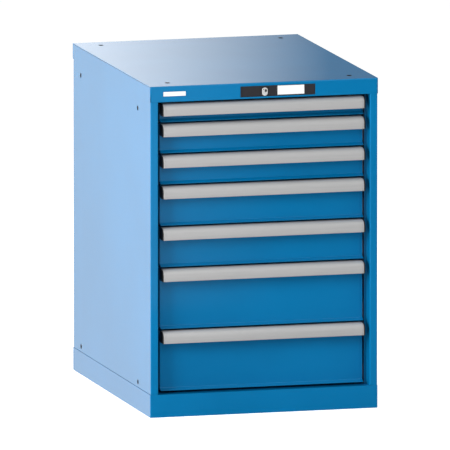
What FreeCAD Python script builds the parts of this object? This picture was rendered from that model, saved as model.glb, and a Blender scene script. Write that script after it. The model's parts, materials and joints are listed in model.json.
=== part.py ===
import FreeCAD, Part
import os

import Sketcher

# Workshop drawer cabinet. Millimetres, +Z up. The origin is the middle of the footprint, on the ground.
# The drawers open towards -Y, and are numbered from the top.

doc = FreeCAD.newDocument("drawer_cabinet")
sheet = doc.addObject("Spreadsheet::Sheet", "Sizes")

sizes = {
    # housing
    "cabinet_width": 564,
    "cabinet_depth": 725,
    "plinth_height": 55,
    "cap_height": 38,
    "sheet": 1.5,
    "bend_radius": 2.5,
    "wall_inset": 1,
    "back_inset": 3,
    "wall_seam": 0.5,
    "post_width": 19,
    "post_return": 37,
    "post_lip": 4.5,
    "rear_fold": 15,
    "cap_return": 18,
    "plinth_foot": 25,
    "plinth_shelf": 20,
    # holes for bolting a worktop on, and cabinets side by side
    "top_hole_radius": 5,
    "top_hole_from_side": 57,
    "top_hole_from_end": 53,
    "side_hole_radius": 4.5,
    "side_hole_from_front": 118.7,
    "side_hole_from_back": 73.7,
    "side_hole_from_end": 68.4,
    # rivets of the back panel
    "rivet_radius": 2,
    "rivet_clearance": 0.1,
    "rivet_head_radius": 4,
    "rivet_head_height": 1.6,
    "rivet_from_edge": 7.5,
    "rivet_from_end": 40,
    # stack of drawers
    "slim_height": 50,
    "low_height": 75,
    "middle_height": 100,
    "deep_height": 150,
    "floor_gap": 3,
    "head_gap": 4,
    # uprights and their slots
    "upright_depth": 60,
    "upright_sheet": 2,
    "slot_width": 5,
    "slot_height": 14,
    "slot_pitch": 25,
    "slot_from_end": 20,
    # slides
    "slide_space": 27,
    "rail_sheet": 2,
    "rail_height": 34,
    "rail_depth": 12.1,
    "rail_lift": 8,
    "rail_front_gap": 2,
    "rail_rear_gap": 26,
    "running_gap": 0.3,
    "bar_height": 30,
    "roller_inset": 18,
    "roller_spacing": 270,
    # drawer fronts
    "front_recess": 28,
    "front_side_gap": 9.6,
    "front_low_gap": 3,
    "front_top_gap": 2,
    "front_sheet": 1.2,
    "front_box": 18.5,
    "front_bend": 1.5,
    "front_hem": 12,
    "lip_reach": 10.5,
    "lip_height": 6,
    # handles
    "handle_height": 28.5,
    "handle_round": 15,
    "handle_wall": 2,
    "handle_web": 12,
    "handle_edge": 3.5,
    "end_cap": 2.4,
    "end_cap_back": 15,
    # trays
    "tray_sheet": 1,
    "tray_low_gap": 6,
    "tray_top_gap": 6,
    "tray_rim": 6,
    "rear_space": 64.5,
    # catch on the back of each tray, and the locking bar's hooks
    "catch_width": 20,
    "catch_rise": 42,
    "catch_reach": 25.5,
    "catch_drop": 12.5,
    "catch_flange": 20,
    "catch_sheet": 1.5,
    "catch_play": 2,
    "hook_width": 12,
    "hook_sheet": 3,
    "hook_height": 12,
    "hook_gap": 1,
    "bar_width": 24,
    "bar_sheet": 3,
    "bar_standoff": 8.5,
    "bar_foot_gap": 5,
    "bar_head_width": 40,
    "bar_head_drop": 15,
    "bar_head_rise": 4,
    "keeper_width": 44,
    "keeper_height": 12,
    "keeper_rise": 50,
    "keeper_drop": 18,
    "keeper_cheek": 3.5,
    # lock
    "lock_offset": 3.6,
    "lock_rise": 18,
    "oval_width": 15.6,
    "oval_height": 22.6,
    "oval_round": 7.6,
    "oval_edge": 0.5,
    "oval_shift_side": 1.9,
    "oval_shift_down": 1,
    "barrel_radius": 5.8,
    "barrel_length": 26,
    "barrel_clearance": 0.1,
    "plug_radius": 4.3,
    "plug_inset": 0.3,
    "plug_tail": 2,
    "turning_clearance": 0.05,
    "keyway_width": 2.8,
    "keyway_height": 5.6,
    "keyway_depth": 5,
    "shaft_radius": 4,
    "cam_radius": 13,
    "cam_sheet": 5,
    "cam_gap": 3,
    "pin_throw": 6,
    "pin_radius": 2.5,
    "pin_clearance": 0.5,
    "pin_travel": 2.5,
    "pin_length": 8,
    "bearing_width": 32,
    "bearing_height": 30,
    "bearing_sheet": 3,
    "bearing_gap": 7,
    # lock plate, label card and blank plate in the fascia
    "plate_start": -56,
    "plate_length": 182.5,
    "plate_rise": 4,
    "plate_height": 26.3,
    "plate_overlap": 2,
    "plate_thickness": 3,
    "label_start": 33,
    "label_length": 68,
    "label_rise": 6.7,
    "label_height": 22.4,
    "label_thickness": 0.6,
    "badge_start": -250.3,
    "badge_length": 57,
    "badge_rise": 12.6,
    "badge_height": 13.4,
    "badge_clearance": 0.2,
}
for row, (alias, number) in enumerate(sizes.items(), start=1):
    sheet.set(f"A{row}", alias)
    sheet.set(f"B{row}", str(number))
    sheet.setAlias(f"B{row}", alias)
doc.recompute()


class Size:
    """A length worked out from the sheet: its expression, and the number that it comes to."""

    def __init__(self, text, value):
        self.text = text
        self.value = value

    def __add__(self, other):
        other = as_size(other)
        return Size(f"({self.text} + {other.text})", self.value + other.value)

    def __sub__(self, other):
        other = as_size(other)
        return Size(f"({self.text} - {other.text})", self.value - other.value)

    def __mul__(self, other):
        other = as_size(other)
        return Size(f"({self.text} * {other.text})", self.value * other.value)

    def __truediv__(self, other):
        other = as_size(other)
        return Size(f"({self.text} / {other.text})", self.value / other.value)

    def __neg__(self):
        return self * -1


def as_size(number):
    if isinstance(number, Size):
        return number
    return Size(f"({number})", number)


class Cells:
    """Gives each size of the sheet by its alias."""

    def __getattr__(self, alias):
        return Size(f"Sizes.{alias}", float(getattr(sheet, alias)))


cell = Cells()
zero = as_size(0)
finished = []


def keep(made, label):
    made.Label = label
    finished.append(made)
    return made


# plain solids

def block(name, low, high):
    made = doc.addObject("Part::Box", name)
    for side, start, end in zip(("Length", "Width", "Height"), low, high):
        made.setExpression(side, (end - start).text)
    for axis, start in zip("xyz", low):
        made.setExpression(f"Placement.Base.{axis}", start.text)
    return made


def rod(name, start, length, radius, along):
    """A cylinder from start, along +X or +Y."""
    made = doc.addObject("Part::Cylinder", name)
    made.setExpression("Radius", radius.text)
    made.setExpression("Height", length.text)
    if along == "X":
        turn = FreeCAD.Rotation(FreeCAD.Vector(0, 1, 0), 90)
    else:
        turn = FreeCAD.Rotation(FreeCAD.Vector(1, 0, 0), -90)
    made.Placement = FreeCAD.Placement(FreeCAD.Vector(), turn)
    for axis, where in zip("xyz", start):
        made.setExpression(f"Placement.Base.{axis}", where.text)
    return made


def cut(name, base, tool):
    made = doc.addObject("Part::Cut", name)
    made.Base = base
    made.Tool = tool
    return made


def fuse(name, shapes):
    made = doc.addObject("Part::MultiFuse", name)
    made.Shapes = shapes
    return made


def group(label, shapes):
    made = doc.addObject("Part::Compound", label)
    made.Links = shapes
    return keep(made, label)


# bodies from sketches

def new_body(label, lift=None):
    made = doc.addObject("PartDesign::Body", label)
    if lift is not None:
        made.setExpression("Placement.Base.z", lift.text)
    return made


def new_sketch(body, plane, distance):
    """A sketch on the body's XY, XZ or YZ plane, moved to that distance along Z, Y or X."""
    drawn = body.newObject("Sketcher::SketchObject", f"{body.Name}_sketch")
    role = f"{plane}_Plane"
    support = next(part for part in body.Origin.OriginFeatures if part.Role == role)
    drawn.AttachmentSupport = [(support, "")]
    drawn.MapMode = "FlatFace"
    if plane == "XZ":
        distance = -distance
    drawn.setExpression("AttachmentOffset.Base.z", distance.text)
    return drawn


def tie(drawn, kind, item, end, size):
    if kind == "Radius":
        rule = Sketcher.Constraint(kind, item, size.value)
    else:
        rule = Sketcher.Constraint(kind, -1, 1, item, end, size.value)
    index = drawn.addConstraint(rule)
    drawn.setExpression(f"Constraints[{index}]", size.text)


def outline(drawn, points):
    first = drawn.GeometryCount
    spots = [FreeCAD.Vector(across.value, up.value, 0) for across, up in points]
    for start, end in zip(spots, spots[1:] + spots[:1]):
        drawn.addGeometry(Part.LineSegment(start, end))
    for index, (across, up) in enumerate(points):
        following = first + (index + 1) % len(points)
        drawn.addConstraint(Sketcher.Constraint("Coincident", first + index, 2, following, 1))
        tie(drawn, "DistanceX", first + index, 1, across)
        tie(drawn, "DistanceY", first + index, 1, up)


def rectangle(drawn, low, high):
    outline(drawn, [low, (high[0], low[1]), high, (low[0], high[1])])


def circle(drawn, across, up, radius):
    centre = FreeCAD.Vector(across.value, up.value, 0)
    item = drawn.addGeometry(Part.Circle(centre, FreeCAD.Vector(0, 0, 1), radius.value))
    tie(drawn, "DistanceX", item, 3, across)
    tie(drawn, "DistanceY", item, 3, up)
    tie(drawn, "Radius", item, 3, radius)


def pad(body, drawn, length):
    """Adds material along +Z, -Y or +X."""
    made = body.newObject("PartDesign::Pad", f"{body.Name}_pad")
    made.Profile = drawn
    made.setExpression("Length", length.text)
    return made


def pocket(body, drawn, length, forward=False):
    """Removes material along -Z, +Y or -X, or the other way with forward."""
    made = body.newObject("PartDesign::Pocket", f"{body.Name}_pocket")
    made.Profile = drawn
    made.Reversed = forward
    made.setExpression("Length", length.text)
    return made


def round_edges(body, radius, spots):
    """Rounds the edges that pass through the spots, in the body's own frame."""
    doc.recompute()
    base = body.Tip
    names = []
    for number, edge in enumerate(base.Shape.Edges, start=1):
        for spot in spots:
            point = Part.Vertex(*[along.value for along in spot])
            if edge.distToShape(point)[0] < 0.001:
                names.append(f"Edge{number}")
    made = body.newObject("PartDesign::Fillet", f"{body.Name}_round")
    made.Base = (base, names)
    made.setExpression("Radius", radius.text)
    return made


# Shared planes. Widths are measured from the middle, depths from front to back, heights from the ground.
half = cell.cabinet_width / 2
front = -(cell.cabinet_depth / 2)
back = cell.cabinet_depth / 2
sheet_metal = cell.sheet
wall = half - cell.wall_inset
opening = wall - cell.post_width
inner = opening - cell.post_lip
rear = back - cell.back_inset
panel_face = rear - sheet_metal * 2
post_back = front + cell.post_return
face = front + cell.front_recess
tray_front = face + cell.front_box
tray_rear = back - cell.rear_space
tray_side = inner - cell.slide_space
front_half = opening - cell.front_side_gap

stack = [
    cell.slim_height,
    cell.low_height,
    cell.low_height,
    cell.middle_height,
    cell.middle_height,
    cell.deep_height,
    cell.deep_height,
]
zones = {}
level = cell.plinth_height + cell.floor_gap
for index in reversed(range(len(stack))):
    zones[index + 1] = level
    level = level + stack[index]
cap_bottom = level + cell.head_gap
top = cap_bottom + cell.cap_height
wall_bottom = cell.plinth_height + cell.wall_seam

rivet_count = 6
rivet_low = cell.plinth_height + cell.rivet_from_end
rivet_step = (cap_bottom - cell.rivet_from_end - rivet_low) / (rivet_count - 1)
rivet_levels = [rivet_low + rivet_step * index for index in range(rivet_count)]
rivet_line = wall - cell.rivet_from_edge


def rivet_holes(body, sides):
    drawn = new_sketch(body, "XZ", panel_face)
    for side in sides:
        for level in rivet_levels:
            circle(drawn, rivet_line * side, level, cell.rivet_radius + cell.rivet_clearance)
    pocket(body, drawn, sheet_metal * 2)


# housing

def side_wall(label, side):
    """The wall, its front post, the lip beside the drawers and the rear fold are one bent sheet."""
    body = new_body(label)
    drawn = new_sketch(body, "XY", wall_bottom)
    skin = wall - sheet_metal
    inside = opening + sheet_metal
    points = [
        (wall, rear),
        (wall, front),
        (opening, front),
        (opening, post_back - sheet_metal),
        (inner, post_back - sheet_metal),
        (inner, post_back),
        (inside, post_back),
        (inside, front + sheet_metal),
        (skin, front + sheet_metal),
        (skin, rear - sheet_metal),
        (wall - cell.rear_fold, rear - sheet_metal),
        (wall - cell.rear_fold, rear),
    ]
    outline(drawn, [(across * side, along) for across, along in points])
    pad(body, drawn, cap_bottom - wall_bottom)
    middle = (wall_bottom + cap_bottom) / 2
    bends = [(wall, rear), (wall, front), (opening, front)]
    round_edges(body, cell.bend_radius, [(across * side, along, middle) for across, along in bends])
    bolts = new_sketch(body, "YZ", wall * side)
    for along in (front + cell.side_hole_from_front, back - cell.side_hole_from_back):
        for level in (cell.side_hole_from_end, top - cell.side_hole_from_end):
            circle(bolts, along, level, cell.side_hole_radius)
    pocket(body, bolts, sheet_metal * 2, forward=side < 0)
    rivet_holes(body, [side])
    keep(body, label)


def back_panel():
    body = new_body("back_panel")
    drawn = new_sketch(body, "XZ", rear - sheet_metal)
    reach = wall - sheet_metal
    rectangle(drawn, (-reach, cell.plinth_height), (reach, top - sheet_metal))
    pad(body, drawn, sheet_metal)
    rivet_holes(body, [-1, 1])
    keep(body, "back_panel")


def back_rivets():
    rivets = []
    for side in (-1, 1):
        for level in rivet_levels:
            head_start = (rivet_line * side, rear, level)
            shank_start = (rivet_line * side, panel_face, level)
            head = rod("rivet_head", head_start, cell.rivet_head_height, cell.rivet_head_radius, "Y")
            shank = rod("rivet_shank", shank_start, sheet_metal * 2, cell.rivet_radius, "Y")
            rivets.append(fuse("rivet", [head, shank]))
    group("back_rivets", rivets)


def ring(body, level, height, outer, inner_edge):
    """A rectangular ring between two insets from the footprint."""
    drawn = new_sketch(body, "XY", level)
    for inset in (outer, inner_edge):
        rectangle(drawn, (inset - half, front + inset), (half - inset, back - inset))
    pad(body, drawn, height)


def corner_spots(level):
    return [(half * side, end, level) for side in (-1, 1) for end in (front, back)]


def rim_spots(level):
    sides = [(half * side, zero, level) for side in (-1, 1)]
    ends = [(zero, end, level) for end in (front, back)]
    return sides + ends


def top_cap():
    body = new_body("top_cap")
    ring(body, cap_bottom, cell.cap_height, zero, sheet_metal)
    roof = new_sketch(body, "XY", top - sheet_metal)
    rectangle(roof, (-half, front), (half, back))
    pad(body, roof, sheet_metal)
    shelf = new_sketch(body, "XY", cap_bottom)
    reach = half - sheet_metal
    rectangle(shelf, (-reach, front + sheet_metal), (reach, front + cell.cap_return))
    pad(body, shelf, sheet_metal)
    middle = cap_bottom + cell.cap_height / 2
    fascia_bottom = [(zero, front, cap_bottom)]
    round_edges(body, cell.bend_radius, corner_spots(middle) + rim_spots(top) + fascia_bottom)

    holes = new_sketch(body, "XY", top)
    for side in (-1, 1):
        for along in (front + cell.top_hole_from_end, back - cell.top_hole_from_end):
            circle(holes, (half - cell.top_hole_from_side) * side, along, cell.top_hole_radius)
    pocket(body, holes, sheet_metal * 2)

    window = new_sketch(body, "XZ", front)
    low = (cell.plate_start, cap_bottom + cell.plate_rise)
    rectangle(window, low, (low[0] + cell.plate_length, low[1] + cell.plate_height))
    pocket(body, window, sheet_metal * 2)

    seat = new_sketch(body, "XZ", front)
    low = (cell.badge_start, cap_bottom + cell.badge_rise)
    rectangle(seat, low, (low[0] + cell.badge_length, low[1] + cell.badge_height))
    pocket(body, seat, cell.label_thickness)
    keep(body, "top_cap")


def floor_panel():
    reach = half - sheet_metal
    low = (-reach, front + sheet_metal, cell.plinth_height - sheet_metal)
    high = (reach, back - sheet_metal, cell.plinth_height)
    keep(block("floor_panel", low, high), "floor_panel")


def plinth():
    body = new_body("plinth")
    ring(body, zero, cell.plinth_height, zero, sheet_metal)
    ring(body, zero, sheet_metal, sheet_metal, cell.plinth_foot)
    ring(body, cell.plinth_height - sheet_metal * 2, sheet_metal, sheet_metal, cell.plinth_shelf)
    round_edges(body, cell.bend_radius, corner_spots(cell.plinth_height / 2))
    keep(body, "plinth")


def upright(name, side, start):
    """A channel, open towards the wall, with a column of slots for hanging the rails."""
    body = new_body(name)
    depth = cell.upright_depth
    web = inner + cell.upright_sheet
    skin = wall - sheet_metal
    end = start + depth
    points = [
        (skin, start),
        (inner, start),
        (inner, end),
        (skin, end),
        (skin, end - cell.upright_sheet),
        (web, end - cell.upright_sheet),
        (web, start + cell.upright_sheet),
        (skin, start + cell.upright_sheet),
    ]
    drawn = new_sketch(body, "XY", cell.plinth_height)
    outline(drawn, [(across * side, along) for across, along in points])
    height = top - sheet_metal - cell.plinth_height
    pad(body, drawn, height)
    slot = new_sketch(body, "YZ", web * side)
    slot_low = (start + depth / 2 - cell.slot_width / 2, cell.plinth_height + cell.slot_from_end)
    rectangle(slot, slot_low, (slot_low[0] + cell.slot_width, slot_low[1] + cell.slot_height))
    slot_cut = pocket(body, slot, cell.upright_sheet, forward=side < 0)
    room = cap_bottom - cell.slot_from_end - cell.slot_height - slot_low[1]
    steps = int(room.value / cell.slot_pitch.value)
    column = body.newObject("PartDesign::LinearPattern", f"{name}_column")
    column.Originals = [slot_cut]
    column.Direction = (slot, ["V_Axis"])
    column.setExpression("Length", (cell.slot_pitch * steps).text)
    column.Occurrences = steps + 1
    body.Tip = column
    return body


def uprights(label, side):
    starts = {"front": post_back, "rear": panel_face - cell.upright_depth}
    group(label, [upright(f"{label}_{end}", side, start) for end, start in starts.items()])


def channel(name, side, low, high, web_at_low):
    """A slide channel: two flanges and the web between them, meeting face to face, open away from the web."""
    metal = cell.rail_sheet
    web = (low[0], low[0] + metal) if web_at_low else (high[0] - metal, high[0])
    strips = [
        (low, (high[0], high[1], low[2] + metal)),
        ((low[0], low[1], high[2] - metal), high),
        ((web[0], low[1], low[2] + metal), (web[1], high[1], high[2] - metal)),
    ]
    return [block(name, *placed(side, *corners)) for corners in strips]


def placed(side, low, high):
    """The corners of a block on the right side, or of its mirror image on the left."""
    if side > 0:
        return low, high
    return (-high[0], low[1], low[2]), (-low[0], high[1], high[2])


rail_front = tray_front + cell.rail_front_gap
rail_rear = panel_face - cell.rail_rear_gap


def cabinet_rails():
    rails = []
    for zone in zones.values():
        low = (inner - cell.rail_depth, rail_front, zone + cell.rail_lift)
        high = (inner, rail_rear, zone + cell.rail_lift + cell.rail_height)
        for side in (-1, 1):
            rails += channel("cabinet_rail", side, low, high, web_at_low=False)
    group("cabinet_rails", rails)


# lock in the fascia, with its shaft to the rear

lock_level = cap_bottom + cell.lock_rise
plate_face = front + sheet_metal
barrel_end = plate_face + cell.barrel_length
plug_end = barrel_end + cell.plug_tail
bar_rear = panel_face - cell.bar_standoff
bar_front = bar_rear - cell.bar_sheet
cam_rear = bar_front - cell.cam_gap
cam_front = cam_rear - cell.cam_sheet


def lock_plate():
    body = new_body("lock_plate")
    drawn = new_sketch(body, "XZ", plate_face + cell.plate_thickness)
    overlap = cell.plate_overlap
    low = (cell.plate_start - overlap, cap_bottom + cell.plate_rise - overlap)
    high = (low[0] + cell.plate_length + overlap * 2, low[1] + cell.plate_height + overlap * 2)
    rectangle(drawn, low, high)
    pad(body, drawn, cell.plate_thickness)
    hole = new_sketch(body, "XZ", plate_face)
    circle(hole, cell.lock_offset, lock_level, cell.barrel_radius + cell.barrel_clearance)
    pocket(body, hole, cell.plate_thickness)
    keep(body, "lock_plate")


def lock_housing():
    body = new_body("lock_housing")
    oval = new_sketch(body, "XZ", plate_face)
    middle = (cell.lock_offset - cell.oval_shift_side, lock_level - cell.oval_shift_down)
    reach = (cell.oval_width / 2, cell.oval_height / 2)
    low = (middle[0] - reach[0], middle[1] - reach[1])
    high = (middle[0] + reach[0], middle[1] + reach[1])
    rectangle(oval, low, high)
    pad(body, oval, sheet_metal)
    depth = front + sheet_metal / 2
    corners = [(across, depth, level) for across in (low[0], high[0]) for level in (low[1], high[1])]
    round_edges(body, cell.oval_round, corners)
    round_edges(body, cell.oval_edge, [(low[0], front, middle[1])])
    barrel = new_sketch(body, "XZ", barrel_end)
    circle(barrel, cell.lock_offset, lock_level, cell.barrel_radius)
    pad(body, barrel, cell.barrel_length)
    bore = new_sketch(body, "XZ", front)
    circle(bore, cell.lock_offset, lock_level, cell.plug_radius + cell.turning_clearance)
    pocket(body, bore, barrel_end - front)
    keep(body, "lock_housing")


def lock_plug():
    body = new_body("lock_plug")
    drawn = new_sketch(body, "XZ", plug_end)
    circle(drawn, cell.lock_offset, lock_level, cell.plug_radius)
    plug_face = front + cell.plug_inset
    pad(body, drawn, plug_end - plug_face)
    keyway = new_sketch(body, "XZ", plug_face)
    low = (cell.lock_offset - cell.keyway_width / 2, lock_level - cell.keyway_height / 2)
    rectangle(keyway, low, (low[0] + cell.keyway_width, low[1] + cell.keyway_height))
    pocket(body, keyway, cell.keyway_depth)
    keep(body, "lock_plug")


def lock_shaft():
    start = (cell.lock_offset, plug_end, lock_level)
    keep(rod("lock_shaft", start, cam_rear - plug_end, cell.shaft_radius, "Y"), "lock_shaft")


pin_level = lock_level - cell.pin_throw
pin_side = cell.lock_offset - cell.pin_throw


def lock_cam():
    """The disc at the rear of the shaft. Its pin sits low on the left, and swings up as the key turns."""
    body = new_body("lock_cam")
    disc = new_sketch(body, "XZ", cam_rear)
    circle(disc, cell.lock_offset, lock_level, cell.cam_radius)
    circle(disc, cell.lock_offset, lock_level, cell.shaft_radius + cell.turning_clearance)
    pad(body, disc, cell.cam_sheet)
    pin = new_sketch(body, "XZ", cam_rear + cell.pin_length)
    circle(pin, pin_side, pin_level, cell.pin_radius)
    pad(body, pin, cell.pin_length)
    keep(body, "lock_cam")


catch_lip = tray_rear + cell.catch_reach
finger_rear = catch_lip - cell.catch_sheet - cell.catch_play
finger_front = finger_rear - cell.hook_sheet
lowest = zones[len(stack)]


def hook_levels(zone):
    """Underside and top of a hook's arm, and the top of its finger, when the lock is open."""
    lip_bottom = zone + cell.catch_rise - cell.catch_sheet - cell.catch_drop
    finger_top = lip_bottom - cell.hook_gap
    arm_top = finger_top - cell.hook_height
    return arm_top - cell.hook_sheet, arm_top, finger_top


def locking_bar():
    body = new_body("bar_plate")
    plate = new_sketch(body, "XZ", bar_rear)
    foot = cell.plinth_height + cell.bar_foot_gap
    shoulder = lock_level - cell.bar_head_drop
    head = lock_level + cell.bar_head_rise
    width = cell.bar_width / 2
    wide = cell.bar_head_width / 2
    points = [(-width, foot), (width, foot), (width, shoulder), (wide, shoulder)]
    points += [(wide, head), (-wide, head), (-wide, shoulder), (-width, shoulder)]
    outline(plate, [(cell.lock_offset + across, up) for across, up in points])
    pad(body, plate, cell.bar_sheet)

    room = cell.pin_radius + cell.pin_clearance
    slot = new_sketch(body, "XZ", bar_front)
    low = (pin_side - room - cell.pin_travel, pin_level - room)
    rectangle(slot, low, (pin_side + room, pin_level + room))
    pocket(body, slot, cell.bar_sheet)

    group("locking_bar", [body] + [hook(zone) for zone in zones.values()])


def hook(zone):
    """An arm welded on the bar, with a finger that stands up at its end."""
    left = cell.lock_offset - cell.hook_width / 2
    right = left + cell.hook_width
    arm_low, arm_top, finger_top = hook_levels(zone)
    arm = block("hook_arm", (left, finger_front, arm_low), (right, bar_front, arm_top))
    finger = block("hook_finger", (left, finger_front, arm_top), (right, finger_rear, finger_top))
    return fuse("hook", [arm, finger])


def keeper(level):
    """Holds the bar off the back panel and lets it slide up and down."""
    reach = cell.keeper_width / 2
    gap = cell.running_gap
    low = (cell.lock_offset - reach, bar_front - gap - cell.keeper_cheek, level)
    high = (cell.lock_offset + reach, panel_face, level + cell.keeper_height)
    slot_reach = cell.bar_width / 2 + gap
    slot_low = (cell.lock_offset - slot_reach, bar_front - gap, level)
    slot_high = (cell.lock_offset + slot_reach, bar_rear + gap, high[2])
    return cut("keeper", block("keeper_block", low, high), block("keeper_slot", slot_low, slot_high))


def lock_brackets():
    reach = cell.bearing_width / 2
    bearing_rear = cam_front - cell.bearing_gap
    bearing_front = bearing_rear - cell.bearing_sheet
    low = (cell.lock_offset - reach, bearing_front, top - sheet_metal - cell.bearing_height)
    high = (cell.lock_offset + reach, bearing_rear, top - sheet_metal)
    bore_start = (cell.lock_offset, bearing_front, lock_level)
    bore = rod("bearing_bore", bore_start, cell.bearing_sheet, cell.shaft_radius + cell.turning_clearance, "Y")
    bearing = cut("bearing", block("bearing_plate", low, high), bore)
    upper = keeper(zones[1] - cell.keeper_drop)
    lower = keeper(lowest + cell.keeper_rise)
    group("lock_brackets", [bearing, upper, lower])


def fascia_labels():
    low = (cell.label_start, plate_face - cell.label_thickness, cap_bottom + cell.label_rise)
    high = (low[0] + cell.label_length, plate_face, low[2] + cell.label_height)
    card = block("label_card", low, high)
    slack = cell.badge_clearance
    low = (cell.badge_start + slack, front, cap_bottom + cell.badge_rise + slack)
    width = cell.badge_length - slack * 2
    height = cell.badge_height - slack * 2
    high = (low[0] + width, front + cell.label_thickness, low[2] + height)
    group("fascia_labels", [card, block("blank_plate", low, high)])


# drawers, each in a frame whose height starts at the bottom of its zone

def drawer_front(label, zone, height):
    body = new_body(label, zone)
    metal = cell.front_sheet
    low = cell.front_low_gap
    lip_top = low + cell.lip_height
    high = height - cell.front_top_gap
    skin = new_sketch(body, "XY", lip_top)
    points = [
        (-front_half, face),
        (front_half, face),
        (front_half, tray_front),
        (front_half - metal, tray_front),
        (front_half - metal, face + metal),
        (metal - front_half, face + metal),
        (metal - front_half, tray_front),
        (-front_half, tray_front),
    ]
    outline(skin, points)
    pad(body, skin, high - lip_top)
    lid = new_sketch(body, "XY", high - metal)
    rectangle(lid, (-front_half, face), (front_half, tray_front))
    pad(body, lid, metal)
    lip = new_sketch(body, "YZ", -front_half)
    tip = face - cell.lip_reach
    points = [
        (face, lip_top),
        (tip, low + metal),
        (tip, low),
        (tray_front, low),
        (tray_front, low + metal),
        (face + metal, low + metal),
        (face + metal, lip_top),
    ]
    outline(lip, points)
    pad(body, lip, front_half * 2)
    hems = new_sketch(body, "XZ", tray_front)
    rectangle(hems, (-front_half, low), (front_half, low + cell.front_hem))
    rectangle(hems, (-front_half, high - cell.front_hem), (front_half, high))
    pad(body, hems, metal)
    middle = (lip_top + high) / 2
    round_edges(body, cell.front_bend, [(front_half * side, face, middle) for side in (-1, 1)])
    return keep(body, label)


def grip_section(high):
    """Corners of the grip's section: its outer round, and the hollow behind it."""
    reach = front
    metal = cell.handle_wall
    low = high - cell.handle_height
    web = high - cell.handle_web
    return [
        (face, high),
        (reach, high),
        (reach, low),
        (reach + cell.handle_edge, low),
        (reach + cell.handle_edge, low + metal),
        (reach + metal, low + metal),
        (reach + metal, high - metal),
        (face - metal, high - metal),
        (face - metal, web),
        (face, web),
    ]


def drawer_handle(label, zone, height):
    body = new_body(label, zone)
    high = height - cell.front_top_gap
    metal = cell.handle_wall
    reach = front_half - cell.end_cap
    drawn = new_sketch(body, "YZ", -reach)
    outline(drawn, grip_section(high))
    pad(body, drawn, reach * 2)
    round_edges(body, cell.handle_round, [(zero, front, high)])
    round_edges(body, cell.handle_round - metal, [(zero, front + metal, high - metal)])
    return keep(body, label)


def end_cap(name, zone, height, start):
    body = new_body(name, zone)
    high = height - cell.front_top_gap
    low = high - cell.handle_height
    drawn = new_sketch(body, "YZ", start)
    points = [
        (face, high),
        (front, high),
        (front, low),
        (front + cell.handle_edge, low),
        (face, high - cell.end_cap_back),
    ]
    outline(drawn, points)
    pad(body, drawn, cell.end_cap)
    round_edges(body, cell.handle_round, [(start + cell.end_cap / 2, front, high)])
    return body


def drawer_tray(label, zone, height):
    """A floor sheet with four walls welded on it. The side and rear walls have an inward rim."""
    metal = cell.tray_sheet
    low = zone + cell.tray_low_gap
    foot = low + metal
    high = zone + height - cell.tray_top_gap
    under_rim = high - metal
    inside = tray_side - metal
    rim = inside - cell.tray_rim
    front_inside = tray_front + metal
    rear_inside = tray_rear - metal

    sheets = [block("tray_floor", (-tray_side, tray_front, low), (tray_side, tray_rear, foot))]
    for side in (-1, 1):
        skin = block("side_skin", *placed(side, (inside, tray_front, foot), (tray_side, tray_rear, high)))
        fold = block("side_rim", *placed(side, (rim, front_inside, under_rim), (inside, rear_inside, high)))
        sheets.append(fuse("tray_side_wall", [skin, fold]))
    sheets.append(block("tray_front_wall", (-inside, tray_front, foot), (inside, front_inside, high)))
    skin = block("rear_skin", (-inside, rear_inside, foot), (inside, tray_rear, high))
    fold = block("rear_rim", (-rim, rear_inside - cell.tray_rim, under_rim), (rim, rear_inside, high))
    sheets.append(fuse("tray_rear_wall", [skin, fold]))
    group(label, sheets + [catch(zone)])


def catch(zone):
    """The bracket welded on the back of a tray. The locking bar's finger rises inside its lip."""
    reach = cell.catch_width / 2
    left = cell.lock_offset - reach
    right = cell.lock_offset + reach
    metal = cell.catch_sheet
    high = zone + cell.catch_rise
    low = high - metal
    tongue = block("catch_tongue", (left, tray_rear, low), (right, catch_lip, high))
    lip = block("catch_lip", (left, catch_lip - metal, low - cell.catch_drop), (right, catch_lip, low))
    flange_low = (left, tray_rear, high - cell.catch_flange)
    flange = block("catch_flange", flange_low, (right, tray_rear + metal, low))
    return fuse("catch", [tongue, lip, flange])


def drawer_rails(label, zone):
    low = (tray_side, tray_front, zone + cell.rail_lift)
    high = (tray_side + cell.rail_depth, tray_rear, zone + cell.rail_lift + cell.rail_height)
    left = channel("drawer_rail", -1, low, high, web_at_low=True)
    right = channel("drawer_rail", 1, low, high, web_at_low=True)
    group(label, left + right)


def slide_members(label, zone):
    """Two bars between the channels, each with rollers that run in both."""
    gap = cell.running_gap
    inner_face = tray_side + cell.rail_depth + gap
    outer_face = inner - cell.rail_depth - gap
    bottom = zone + cell.rail_lift + (cell.rail_height - cell.bar_height) / 2
    bar_low = (inner_face, tray_front + gap, bottom)
    bar_high = (outer_face, tray_rear, bottom + cell.bar_height)
    radius = cell.rail_height / 2 - cell.rail_sheet - gap
    axle = zone + cell.rail_lift + cell.rail_height / 2
    wheel = inner_face - tray_side - cell.rail_sheet - gap
    fore = tray_front + cell.roller_inset
    aft = tray_rear - cell.roller_inset
    pieces = []
    for side in (-1, 1):
        pieces.append(block("slide_bar", *placed(side, bar_low, bar_high)))
        for along in (fore, fore + cell.roller_spacing):
            start = inner_face - wheel if side > 0 else -inner_face
            pieces.append(rod("inner_roller", (start, along, axle), wheel, radius, "X"))
        for along in (aft, aft - cell.roller_spacing):
            start = outer_face if side > 0 else -outer_face - wheel
            pieces.append(rod("outer_roller", (start, along, axle), wheel, radius, "X"))
    group(label, pieces)


def drawer(number, zone, height):
    name = f"drawer_{number}"
    drawer_tray(f"{name}_tray", zone, height)
    drawer_front(f"{name}_front", zone, height)
    drawer_handle(f"{name}_handle", zone, height)
    starts = {"left": -front_half, "right": front_half - cell.end_cap}
    caps = [end_cap(f"{name}_{side}_cap", zone, height, start) for side, start in starts.items()]
    group(f"{name}_end_caps", caps)
    drawer_rails(f"{name}_rails", zone)
    slide_members(f"slide_{number}_members", zone)


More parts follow.
